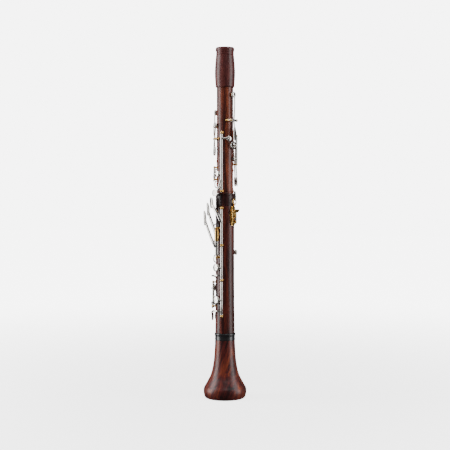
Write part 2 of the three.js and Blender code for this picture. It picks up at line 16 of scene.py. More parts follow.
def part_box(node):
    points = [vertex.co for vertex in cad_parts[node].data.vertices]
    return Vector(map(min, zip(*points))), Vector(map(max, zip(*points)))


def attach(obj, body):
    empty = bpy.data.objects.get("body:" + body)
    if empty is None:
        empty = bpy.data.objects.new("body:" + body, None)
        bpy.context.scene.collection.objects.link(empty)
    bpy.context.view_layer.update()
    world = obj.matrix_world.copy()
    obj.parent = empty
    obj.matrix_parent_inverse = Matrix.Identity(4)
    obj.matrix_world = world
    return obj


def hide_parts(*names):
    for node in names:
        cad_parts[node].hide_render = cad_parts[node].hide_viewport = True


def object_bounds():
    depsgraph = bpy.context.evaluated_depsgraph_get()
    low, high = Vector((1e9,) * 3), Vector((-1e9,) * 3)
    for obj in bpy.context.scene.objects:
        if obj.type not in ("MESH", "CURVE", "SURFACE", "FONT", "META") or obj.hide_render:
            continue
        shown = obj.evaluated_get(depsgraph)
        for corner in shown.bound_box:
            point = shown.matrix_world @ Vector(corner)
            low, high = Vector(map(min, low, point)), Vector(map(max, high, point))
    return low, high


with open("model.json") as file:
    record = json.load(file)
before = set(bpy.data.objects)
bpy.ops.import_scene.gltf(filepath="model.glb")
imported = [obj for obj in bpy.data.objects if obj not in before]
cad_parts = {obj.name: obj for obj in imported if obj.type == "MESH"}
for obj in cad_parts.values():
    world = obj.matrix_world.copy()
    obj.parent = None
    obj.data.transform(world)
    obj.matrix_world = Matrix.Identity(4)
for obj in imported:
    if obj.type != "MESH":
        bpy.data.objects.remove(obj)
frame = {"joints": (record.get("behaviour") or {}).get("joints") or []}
CAD_LOW, CAD_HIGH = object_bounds()

MM = 0.001
ROOT = "instrument"
PIVOTS = {joint["child"]: joint for joint in frame["joints"]}

# Wood: heights, then radii. BAND_UP is the foot of the turned band around the lower joint's socket.
BELL_TOP = 111
LOWER_TOP = 348.5
UPPER_TOP = 528
BARREL_TOP = CAD_HIGH.z / MM
BAND_UP = 327.4
BORE = 7.35
UPPER_WOOD = 14
LOWER_WOOD = 15.8
LOWER_FOOT = 16.7
WOOD_SIDES = 128

# Tenons: radius, radius under the cork, length.
MIDDLE_TENON = (11.2, 10, 20.7)
BARREL_TENON = (11, 9.8, 16.7)
BELL_TENON = (12.2, 11, 22.7)

# Holes: heights, then radii. HOLE_FROM and HOLE_TO are the distances from the axis of a cut's ends.
UPPER_HOLES = [403, 384, 364]
LOWER_HOLES = [290, 262, 237]
REGISTER_UP = 515
THUMB_UP = 430
UPPER_HOLE = 2.95
LOWER_HOLE = 3.25
PAD_HOLE = 2.6
REGISTER_HOLE = 3.1
THUMB_HOLE = 4.2
HOLE_FROM = 7
HOLE_TO = 20

# Key work: radii of tube, post ball, post stem and hinge rod, then an arm's width and thickness, and
# the share of them that is left at its tip.
TUBE = 2.0
BALL = 2.3
STEM = 1.15
ROD = 0.9
KEY_ARM = (3.0, 2.0)
LEVER_ARM = (5.6, 3.8)
ARM_TIP = 0.8

# Lever tubes that differ from the rest: radius, sides and softness of the ends.
WIDE_TUBES = {"lever_outer": (2.9, 40, 0.6)}
GOLD_TUBES = {"lever_middle": (3.8, 40, 0.5)}

# Stage, light and camera, in metres and degrees.
FLOOR_REACH = 6
DOME_RADIUS = 9
BACKDROP_GLOW = 6.5
FLOOR_GLOW = 3
GLOW_FROM = 0.1
GLOW_TO = 1.6
WORLD_GLOW = 0.09
VIEW_AROUND = 125
VIEW_DISTANCE = 1.66
VIEW_HEIGHT = 0.348
AIM_HEIGHT = 0.2949

# Sockets of a Mix node that mixes colours.
MIX_FACTOR = 0
MIX_FIRST = 6
MIX_SECOND = 7
MIX_RESULT = 2


# ---------------------------------------------------------------- places

def outward(around):
    angle = math.radians(around)
    return Vector((math.sin(angle), -math.cos(angle), 0))


def sideways(around):
    angle = math.radians(around)
    return Vector((math.cos(angle), math.sin(angle), 0))


def place(around, out, up):
    return (outward(around) * out + Vector((0, 0, up))) * MM


def polar(point):
    """Around, out and up of a point in metres."""
    x, y, z = point
    return math.degrees(math.atan2(x, -y)) % 360, math.hypot(x, y) / MM, z / MM


def facing(around, out, up):
    """Matrix whose x is sideways, y up and z outward, with its origin at a place."""
    side, lift, face = sideways(around), Vector((0, 0, 1)), outward(around)
    spin = Matrix((side, lift, face)).transposed().to_4x4()
    return Matrix.Translation(place(around, out, up)) @ spin


def along(start, end):
    """Matrix whose z runs from start to end, with its origin at start."""
    turn = Vector((0, 0, 1)).rotation_difference((end - start).normalized())
    return Matrix.Translation(start) @ turn.to_matrix().to_4x4()


def hinge_of(key):
    return polar(PIVOTS[key]["pos_m"])


# ---------------------------------------------------------------- mesh building

def stitch(mesh, rows, caps=True):
    """Faces between successive rows of vertices, each row a loop."""
    count = len(rows[0])
    for low, high in zip(rows, rows[1:]):
        for i in range(count):
            j = (i + 1) % count
            mesh.faces.new((low[i], low[j], high[j], high[i]))
    if caps:
        mesh.faces.new(list(reversed(rows[0])))
        mesh.faces.new(rows[-1])


def turn_profile(mesh, profile, sides, matrix=Matrix(), closed=False):
    """Turns (radius, height) pairs round z. An open profile is capped at its ends."""
    rows = []
    for radius, height in profile:
        ring = []
        for i in range(sides):
            angle = 2 * math.pi * i / sides
            spot = Vector((radius * math.cos(angle), radius * math.sin(angle), height)) * MM
            ring.append(mesh.verts.new(matrix @ spot))
        rows.append(ring)
    if closed:
        rows.append(rows[0])
    stitch(mesh, rows, caps=not closed)


def spline(points, steps):
    """Catmull-Rom curve through a few points."""
    padded = [points[0] * 2 - points[1], *points, points[-1] * 2 - points[-2]]
    curve = []
    for a, b, c, d in zip(padded, padded[1:], padded[2:], padded[3:]):
        for i in range(steps):
            t = i / steps
            curve.append(0.5 * (2 * b + (c - a) * t + (2 * a - 5 * b + 4 * c - d) * t ** 2
                                + (3 * b - a - 3 * c + d) * t ** 3))
    return [*curve, points[-1]]


def squarish(value, power):
    """A sine or cosine, pushed outward so that it draws a rounded square."""
    return math.copysign(abs(value) ** power, value)


def add_arm(mesh, places, wide, thick):
    """A flattened key arm along a curve, with soft edges, tapering to its far end."""
    curve = spline([place(*spot) for spot in places], 9)
    last = len(curve) - 1
    rows = []
    for i, spot in enumerate(curve):
        run = (curve[min(i + 1, last)] - curve[max(i - 1, 0)]).normalized()
        face = Vector((spot.x, spot.y, 0)).normalized()
        side = run.cross(face).normalized()
        lift = side.cross(run)
        end = min(i, last - i)
        swell = (1 + (ARM_TIP - 1) * i / last) * (0.55, 0.86, 1)[min(end, 2)]
        row = []
        for k in range(14):
            angle = 2 * math.pi * k / 14
            across = squarish(math.cos(angle), 0.75) * wide / 2
            height = squarish(math.sin(angle), 0.75) * thick / 2
            row.append(mesh.verts.new(spot + (side * across + lift * height) * swell * MM))
        rows.append(row)
    stitch(mesh, rows)


def add_rod(mesh, start, end, radius, sides=24, soft=0.25):
    """A round rod between two points in metres, with softened ends."""
    length = (end - start).length / MM
    profile = [(radius - soft, 0), (radius - soft * 0.3, soft * 0.3), (radius, soft), (radius, length - soft),
               (radius - soft * 0.3, length - soft * 0.3), (radius - soft, length)]
    turn_profile(mesh, profile, sides, along(start, end))


def add_tube(mesh, start, end):
    """A key's hinge tube, with a collar turned at each end."""
    collar = (end - start).normalized() * 1.6 * MM
    add_rod(mesh, start, end, TUBE)
    add_rod(mesh, start, start + collar, TUBE + 0.22)
    add_rod(mesh, end - collar, end, TUBE + 0.22)


def add_cup(mesh, around, up, out, radius):
    """A domed pad cup: rolled skirt, shoulder and shallow crown."""
    r = radius
    profile = [(r - 0.7, 0.35), (r - 0.5, 0), (r - 0.1, 0.05), (r, 0.4), (r - 0.05, 1.1),
               (r - 0.35, 1.6), (r - 0.9, 1.95), (r * 0.6, 2.25), (r * 0.3, 2.45), (0.4, 2.5)]
    turn_profile(mesh, profile, 40, facing(around, out, up))


def add_touch(mesh, spot, wide, tall, thick, taper=0, bend=0, dish=0.35, tilt=0):
    """A finger touch: a soft-edged pebble that can taper, curl outward and be dished."""
    matrix = facing(*spot) @ Matrix.Rotation(math.radians(tilt), 4, "X")
    rows = []
    for i in range(1, 24):
        y = -math.cos(math.pi * i / 24)
        girth = math.sin(math.pi * i / 24) ** 0.55
        row = []
        for k in range(32):
            angle = 2 * math.pi * k / 32
            x = squarish(math.cos(angle), 0.82) * girth
            z = squarish(math.sin(angle), 0.82) * girth
            hollow = dish * max(0, 1 - x * x - y * y) if z > 0 else 0
            width = wide / 2 * (1 + taper * y)
            height = z * thick / 2 - hollow + bend * (y + 0.4) ** 2
            row.append(mesh.verts.new(matrix @ (Vector((x * width, y * tall / 2, height)) * MM)))
        rows.append(row)
    stitch(mesh, rows)


def add_ring(mesh, around, up, out, outer, inner, thick):
    """An open finger ring with rounded edges, facing outward."""
    soft = 0.35
    profile = [(inner, soft), (inner + soft, 0), (outer - soft, 0), (outer, soft), (outer, thick - soft),
               (outer - soft, thick), (inner + soft, thick), (inner, thick - soft)]
    turn_profile(mesh, profile, 48, facing(around, out, up), closed=True)


def add_post(mesh, top, direction, length):
    """A turned post: flange on the wood, waisted stem and ball."""
    foot = top - direction * length * MM
    profile = [(1.2, -2), (2.1, -0.2), (2.15, 0.3), (1.9, 0.6), (1.35, 0.9), (STEM, length * 0.5),
               (1.3, length - 2.0), (1.75, length - 1.6), (2.15, length - 0.9), (BALL, length),
               (2.15, length + 0.9), (1.6, length + 1.65), (0.8, length + 2.15), (0.2, length + BALL)]
    turn_profile(mesh, profile, 28, along(foot, top))


def add_block(mesh, low, high, matrix=Matrix()):
    """A box between two corners, then moved by a matrix."""
    corners = bmesh.ops.create_cube(mesh, size=1)["verts"]
    size = [b - a for a, b in zip(low, high)]
    middle = [(a + b) / 2 for a, b in zip(low, high)]
    for vert in corners:
        vert.co = matrix @ (Vector([c * s + m for c, s, m in zip(vert.co, size, middle)]) * MM)


# ---------------------------------------------------------------- materials

def new_material(name):
    material = bpy.data.materials.new(name)
    material.use_nodes = True
    nodes = material.node_tree.nodes
    return material, nodes, material.node_tree.links, nodes["Principled BSDF"]


def noise_node(nodes, links, vector, scale, detail=6, rough=0.55, distort=0):
    node = nodes.new("ShaderNodeTexNoise")
    node.inputs["Scale"].default_value = scale
    node.inputs["Detail"].default_value = detail
    node.inputs["Roughness"].default_value = rough
    node.inputs["Distortion"].default_value = distort
    links.new(vector, node.inputs["Vector"])
    return node


def ramp_node(nodes, links, factor, stops):
    node = nodes.new("ShaderNodeValToRGB")
    ramp = node.color_ramp
    while len(ramp.elements) < len(stops):
        ramp.elements.new(0.5)
    for element, (position, colour) in zip(ramp.elements, stops):
        element.position = position
        element.color = (*colour, 1)
    links.new(factor, node.inputs["Fac"])
    return node


def mapped(nodes, links, scale, turn=(0, 0, 0), shift=(0, 0, 0)):
    """Object coordinates, leaned by turn, then stretched and shifted."""
    where = nodes.new("ShaderNodeTexCoord")
    lean = nodes.new("ShaderNodeVectorRotate")
    lean.rotation_type = "EULER_XYZ"
    lean.inputs["Rotation"].default_value = turn
    links.new(where.outputs["Object"], lean.inputs["Vector"])
    mapping = nodes.new("ShaderNodeMapping")
    mapping.inputs["Scale"].default_value = scale
    mapping.inputs["Location"].default_value = shift
    links.new(lean.outputs["Vector"], mapping.inputs["Vector"])
    return mapping.outputs["Vector"]


def bump_to(nodes, links, shader, height, distance, strength):
    bump = nodes.new("ShaderNodeBump")
    bump.inputs["Distance"].default_value = distance
    bump.inputs["Strength"].default_value = strength
    links.new(height, bump.inputs["Height"])
    links.new(bump.outputs["Normal"], shader.inputs["Normal"])


def ranged(nodes, links, value, low, high):
    node = nodes.new("ShaderNodeMapRange")
    node.inputs["To Min"].default_value = low
    node.inputs["To Max"].default_value = high
    links.new(value, node.inputs["Value"])
    return node.outputs["Result"]


def blended(nodes, links, kind, factor, first, second):
    """Two colours mixed. The factor can be a number, and the second colour a plain one."""
    node = nodes.new("ShaderNodeMix")
    node.data_type = "RGBA"
    node.blend_type = kind
    links.new(first, node.inputs[MIX_FIRST])
    if isinstance(factor, float):
        node.inputs[MIX_FACTOR].default_value = factor
    else:
        links.new(factor, node.inputs[MIX_FACTOR])
    if isinstance(second, tuple):
        node.inputs[MIX_SECOND].default_value = (*second, 1)
    else:
        links.new(second, node.inputs[MIX_SECOND])
    return node.outputs[MIX_RESULT]


def darkened_above(nodes, links, colour, up, tint):
    """The colour, made darker above a height."""
    where = nodes.new("ShaderNodeTexCoord")
    split = nodes.new("ShaderNodeSeparateXYZ")
    links.new(where.outputs["Object"], split.inputs["Vector"])
    edge = nodes.new("ShaderNodeMapRange")
    edge.inputs["From Min"].default_value = (up - 0.5) * MM
    edge.inputs["From Max"].default_value = (up + 0.5) * MM
    links.new(split.outputs["Z"], edge.inputs["Value"])
    return blended(nodes, links, "MULTIPLY", edge.outputs["Result"], colour, tint)


def rosewood(name, dark, middle, light, shift, turn=(0, 0, 0), stretch=7, darken_from=None):
    """Cocobolo: broad streaks and fine fibres along the grain, dark ink lines and a thin coat."""
    material, nodes, links, shader = new_material(name)

    def grain(across, along_grain, *noise):
        where = mapped(nodes, links, (across, across, along_grain), turn, shift)
        return noise_node(nodes, links, where, *noise).outputs["Fac"]

    broad = grain(60, stretch, 1.1, 4, 0.6, 1.4)
    body = ramp_node(nodes, links, broad, [(0.32, dark), (0.5, middle), (0.68, light)])
    fine = grain(420, stretch * 3, 1, 5, 0.65, 0.6)
    fibres = ramp_node(nodes, links, fine, [(0.35, (0.55, 0.5, 0.5)), (0.62, (1.15, 1.1, 1.05))])
    ink = grain(130, stretch * 1.3, 1.2, 3, 0.5, 2.4)
    lines = ramp_node(nodes, links, ink, [(0.47, (0, 0, 0)), (0.5, (1, 1, 1)), (0.53, (0, 0, 0))])
    fade = nodes.new("ShaderNodeMath")
    fade.operation = "MULTIPLY"
    fade.inputs[1].default_value = 0.75
    links.new(lines.outputs["Color"], fade.inputs[0])
    grained = blended(nodes, links, "MULTIPLY", 0.8, body.outputs["Color"], fibres.outputs["Color"])
    inked = blended(nodes, links, "MIX", fade.outputs[0], grained, tuple(c * 0.35 for c in dark))
    # Colour made darker above a height, when one is given.
    if darken_from:
        inked = darkened_above(nodes, links, inked, darken_from, SOCKET_TINT)
    links.new(inked, shader.inputs["Base Color"])
    links.new(ranged(nodes, links, fine, 0.3, 0.46), shader.inputs["Roughness"])
    shader.inputs["Coat Weight"].default_value = 0.16
    shader.inputs["Coat Roughness"].default_value = 0.2
    bump_to(nodes, links, shader, fine, 0.00012, 0.5)
    return material


def plated(name, colour, tarnish, rough):
    """Bright plate: slight clouding, hairline polishing marks and a soft ripple."""
    material, nodes, links, shader = new_material(name)
    cloud = noise_node(nodes, links, mapped(nodes, links, (90, 90, 90)), 1, 4)
    tone = ramp_node(nodes, links, cloud.outputs["Fac"], [(0.3, tarnish), (0.6, colour)])
    hair = noise_node(nodes, links, mapped(nodes, links, (2500, 2500, 320)), 1, 3)
    links.new(tone.outputs["Color"], shader.inputs["Base Color"])
    blur = ranged(nodes, links, hair.outputs["Fac"], rough * 0.7, rough * 1.6)
    links.new(blur, shader.inputs["Roughness"])
    shader.inputs["Metallic"].default_value = 1
    bump_to(nodes, links, shader, hair.outputs["Fac"], 0.00002, 0.4)
    return material


def grainy(name, first, second, scale, rough, bump, coat=0.0):
    """A speckled matt material: rubber, cork or pad skin."""
    material, nodes, links, shader = new_material(name)
    spots = noise_node(nodes, links, mapped(nodes, links, (scale, scale, scale)), 1, 7, 0.65)
    tone = ramp_node(nodes, links, spots.outputs["Fac"], [(0.38, first), (0.62, second)])
    links.new(tone.outputs["Color"], shader.inputs["Base Color"])
    blur = ranged(nodes, links, spots.outputs["Fac"], rough * 0.8, rough * 1.2)
    links.new(blur, shader.inputs["Roughness"])
    shader.inputs["Coat Weight"].default_value = coat
    bump_to(nodes, links, shader, spots.outputs["Fac"], bump, 0.6)
    return material


# Multiplies the lower joint's colour above BAND_UP, so the band at its socket is drawn darker.
SOCKET_TINT = (0.4, 0.48, 0.62)
UPPER_LOOK = rosewood("cocobolo_upper", (0.03, 0.007, 0.006), (0.15, 0.027, 0.015), (0.35, 0.075, 0.026),
                      (3, 1, 0))
LOWER_LOOK = rosewood("cocobolo_lower", (0.022, 0.005, 0.006), (0.1, 0.015, 0.01), (0.23, 0.036, 0.018),
                      (7, 5, 2), darken_from=BAND_UP)
BARREL_LOOK = rosewood("cocobolo_barrel", (0.085, 0.018, 0.019), (0.14, 0.03, 0.028), (0.19, 0.045, 0.038),
                       (11, 2, 5), stretch=12)
BELL_LOOK = rosewood("cocobolo_bell", (0.022, 0.006, 0.007), (0.15, 0.022, 0.018), (0.38, 0.078, 0.028),
                     (2, 9, 1), turn=(0.2, 0.14, 0), stretch=9)
SILVER = plated("silver_plate", (0.96, 0.93, 0.88), (0.84, 0.79, 0.72), 0.13)
GOLD = plated("gold_plate", (0.96, 0.62, 0.2), (0.84, 0.46, 0.12), 0.16)
BLACK = grainy("black_rubber", (0.012, 0.011, 0.013), (0.03, 0.028, 0.03), 900, 0.28, 0.00002, 0.4)
CORK = grainy("tenon_cork", (0.3, 0.16, 0.08), (0.62, 0.4, 0.22), 700, 0.85, 0.0002)
SKIN = grainy("pad_skin", (0.82, 0.76, 0.64), (0.93, 0.89, 0.8), 500, 0.6, 0.00005)


# ---------------------------------------------------------------- pieces

def finish_piece(name, mesh, body, material, nodes=(), smooth=40):
    """Makes an object of a mesh with one material slot, parents it to its body's empty and hides the CAD nodes
    that it replaces.
    """
    bmesh.ops.recalc_face_normals(mesh, faces=mesh.faces)
    data = bpy.data.meshes.new(name)
    mesh.to_mesh(data)
    mesh.free()
    piece = bpy.data.objects.new(name, data)
    bpy.context.scene.collection.objects.link(piece)
    data.materials.append(material)
    data.shade_smooth()
    data.set_sharp_from_angle(angle=math.radians(smooth))
    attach(piece, body)
    if nodes:
        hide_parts(*nodes)
    return piece


def carve(piece, pegs):
    """Cuts round holes in a piece. Each peg is (around, up, radius)."""
    mesh = bmesh.new()
    for around, up, radius in pegs:
        add_rod(mesh, place(around, HOLE_FROM, up), place(around, HOLE_TO, up), radius, 32, 0.01)
    bmesh.ops.recalc_face_normals(mesh, faces=mesh.faces)
    data = bpy.data.meshes.new("cutter")
    mesh.to_mesh(data)
    mesh.free()
    cutter = bpy.data.objects.new("cutter", data)
    bpy.context.scene.collection.objects.link(cutter)
    boolean = piece.modifiers.new("holes", "BOOLEAN")
    boolean.object = cutter
    boolean.solver = "EXACT"
    bpy.context.view_layer.update()
    evaluated = piece.evaluated_get(bpy.context.evaluated_depsgraph_get())
    holed = bpy.data.meshes.new_from_object(evaluated)
    piece.modifiers.clear()
    piece.data = holed
    bpy.data.objects.remove(cutter)


def smooth_outline(pairs, steps=6):
    """A curve through (radius, height) pairs."""
    return [(point.x, point.y) for point in spline([Vector(pair) for pair in pairs], steps)]


def turned_piece(name, profile, body, material, nodes):
    mesh = bmesh.new()
    turn_profile(mesh, profile, WOOD_SIDES, closed=True)
    return finish_piece(name, mesh, body, material, nodes, 32)


def bell():
    outside = [(29.6, 0.35), (30.4, 0), (32.0, 0)] + smooth_outline([
        (32.6, 0.1), (34.6, 1.9), (36.2, 7), (36.72, 12.5), (35.9, 17.3), (33.2, 22), (29.4, 29),
        (25.6, 36), (22.9, 44), (20.6, 54), (18.7, 68), (17.7, 82), (17.05, 98)])
    neck = [(17.0, BELL_TOP - 12.1), (16.1, BELL_TOP - 12.1), (16.1, BELL_TOP - 0.5),
            (12.6, BELL_TOP - 0.5), (12.6, BELL_TOP - 23)]
    inside = smooth_outline([(8, BELL_TOP - 23.1), (9, 66), (11.6, 48), (16, 33), (22.5, 18), (29.2, 0.9)])
    turned_piece("bell_wood", outside + neck + inside, ROOT, BELL_LOOK, ["bell"])
    low = BELL_TOP - 12
    bead = [(17.25 + 0.65 * math.sin(a), BELL_TOP - 2.3 - 1.9 * math.cos(a))
            for a in [math.pi * i / 10 for i in range(11)]]
    band = [(16.3, low + 0.1), (17.1, low + 0.1), (17.3, low + 0.4), (17.3, low + 2.6), (17.15, low + 2.9),
            (17.15, BELL_TOP - 4.7), *bead, (16.3, BELL_TOP - 0.35)]
    turned_piece("bell_band", band, ROOT, BLACK, ["bell_ring"])


def groove(radius, up, depth=0.3):
    """A V-shaped groove cut in a turned surface."""
    return [(radius, up - 0.25), (radius - depth, up), (radius, up + 0.25)]


def tenon(shoulder, sign, radius, dip, length):
    """A tenon's outline from its shoulder to the bore, with the dip that holds the cork."""
    tip = shoulder + sign * length
    return [(radius, shoulder), (radius, shoulder + sign * 3), (dip, shoulder + sign * 3),
            (dip, tip - sign * 2.5), (radius, tip - sign * 2.5), (radius - 0.4, tip), (BORE, tip)]


def chimney(mesh, up, low, high):
    """A finger hole's raised rim, between two distances from the axis."""
    profile = [(2.95, low), (3.95, low), (3.95, high - 0.5), (3.8, high - 0.12), (3.5, high),
               (3.25, high - 0.1), (2.95, high - 0.45)]
    turn_profile(mesh, profile, 40, facing(0, 0, up), closed=True)


def pad_spots():
    """Around, up and cup radius of every hole that a pad covers."""
    return [(around, up, radius) for spec in KEYS.values() for around, up, _, radius in spec.get("cups", [])]


def joints():
    foot = LOWER_TOP + 0.3
    upper = tenon(foot, -1, *MIDDLE_TENON)[::-1]
    upper += [(UPPER_WOOD + 0.25, foot), (UPPER_WOOD + 0.35, foot + 0.3), (UPPER_WOOD + 0.35, foot + 1.2)]
    for up in (foot + 1.7, foot + 3.1):
        upper += groove(UPPER_WOOD + 0.25, up)
    upper += [(UPPER_WOOD + 0.2, foot + 4.2), (UPPER_WOOD, foot + 5), (UPPER_WOOD, UPPER_TOP - 0.3),
              (UPPER_WOOD - 0.3, UPPER_TOP)]
    upper += tenon(UPPER_TOP, 1, *BARREL_TENON)
    wood = turned_piece("upper_joint_wood", upper, ROOT, UPPER_LOOK, ["upper_joint"])
    pads = [(around, up) for around, up, _ in pad_spots() if up > LOWER_TOP and up != REGISTER_UP]
    carve(wood, [(0, up, UPPER_HOLE) for up in UPPER_HOLES]
          + [(around, up, PAD_HOLE) for around, up in pads]
          + [(180, THUMB_UP, THUMB_HOLE), (180, REGISTER_UP, REGISTER_HOLE)])
    lower = tenon(BELL_TOP, -1, *BELL_TENON)[::-1]
    lower += [(LOWER_FOOT - 0.2, BELL_TOP), (LOWER_FOOT, BELL_TOP + 0.3), (LOWER_FOOT - 0.1, 122)]
    lower += [(LOWER_WOOD + 0.2, 160), (LOWER_WOOD, 230), (LOWER_WOOD, 326)]
    for up in (BAND_UP, BAND_UP + 1.8, LOWER_TOP - 3.4, LOWER_TOP - 1.9):
        lower += groove(LOWER_WOOD + 0.08, up, 0.25)
    lower += [(LOWER_WOOD + 0.08, LOWER_TOP - 0.9), (LOWER_WOOD - 0.2, LOWER_TOP - 0.3),
              (LOWER_WOOD - 0.7, LOWER_TOP), (11.6, LOWER_TOP), (11.6, LOWER_TOP - 21), (BORE, LOWER_TOP - 21)]
    wood = turned_piece("lower_joint_wood", lower, ROOT, LOWER_LOOK, ["lower_joint"])
    carve(wood, [(0, up, LOWER_HOLE) for up in LOWER_HOLES]
          + [(around, up, cup * 0.62) for around, up, cup in pad_spots() if up < LOWER_TOP])
    rims = [("upper", UPPER_LOOK, UPPER_HOLES, 12.5, 15.4), ("lower", LOWER_LOOK, LOWER_HOLES, 14.3, 17.3)]
    for section, look, holes, low, high in rims:
        mesh = bmesh.new()
        for up in holes:
            chimney(mesh, up, low, high)
        finish_piece(f"{section}_finger_hole_rims", mesh, ROOT, look)


def barrel():
    foot = UPPER_TOP + 0.3
    outline = [(11.4, foot), (15.5, foot), (15.75, foot + 0.25)]
    outline += smooth_outline([(15.85, foot + 0.6), (16.75, 540), (17.25, 553), (16.6, 567), (15.5, 580)])
    outline += [(15.25, 582.1), (14.7, 582.5), (14.7, 582.9), (15.2, 583.3), (15.1, 585.9), (14.7, 586.3),
                (14.7, 586.7), (15.1, 587.1)]
    outline += smooth_outline([(15.2, 588.6), (15.75, 590.4), (15.9, 592.6), (15.55, 594.5),
                               (14.7, BARREL_TOP)], 5)
    outline += [(11.6, BARREL_TOP), (11.2, BARREL_TOP - 0.4), (11.2, BARREL_TOP - 17), (BORE, BARREL_TOP - 17),
                (BORE, foot + 17), (11.4, foot + 17)]
    turned_piece("barrel_wood", outline, "barrel", BARREL_LOOK, ["barrel"])


def corks():
    for node, outer in (("middle_tenon_cork", 11.4), ("barrel_tenon_cork", 11.2), ("bell_tenon_cork", 12.4)):
        low, high = (corner.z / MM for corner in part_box(node))
        profile = [(outer - 1.2, low), (outer - 0.4, low), (outer, low + 0.8), (outer, high - 0.8),
                   (outer - 0.4, high), (outer - 1.2, high)]
        turned_piece(node + "_sheet", profile, ROOT, CORK, [node])


def tone_tubes():
    """The metal liners of the register hole and the thumb hole."""
    tubes = [("register_tube", REGISTER_UP, 3.0, 1.5, 15.3, GOLD, "gold_plate"),
             ("thumb_tube", THUMB_UP, 4.1, 2.9, 15.7, SILVER, "silver_plate")]
    for node, up, outer, inner, top, material, slot in tubes:
        mesh = bmesh.new()
        profile = [(inner, 8.2), (outer - 0.3, 8.2), (outer, 8.5), (outer, top - 0.3), (outer - 0.3, top),
                   (inner + 0.3, top), (inner, top - 0.3)]
        turn_profile(mesh, profile, 40, facing(180, 0, up), closed=True)
        finish_piece(node + "_liner", mesh, ROOT, material, [node])


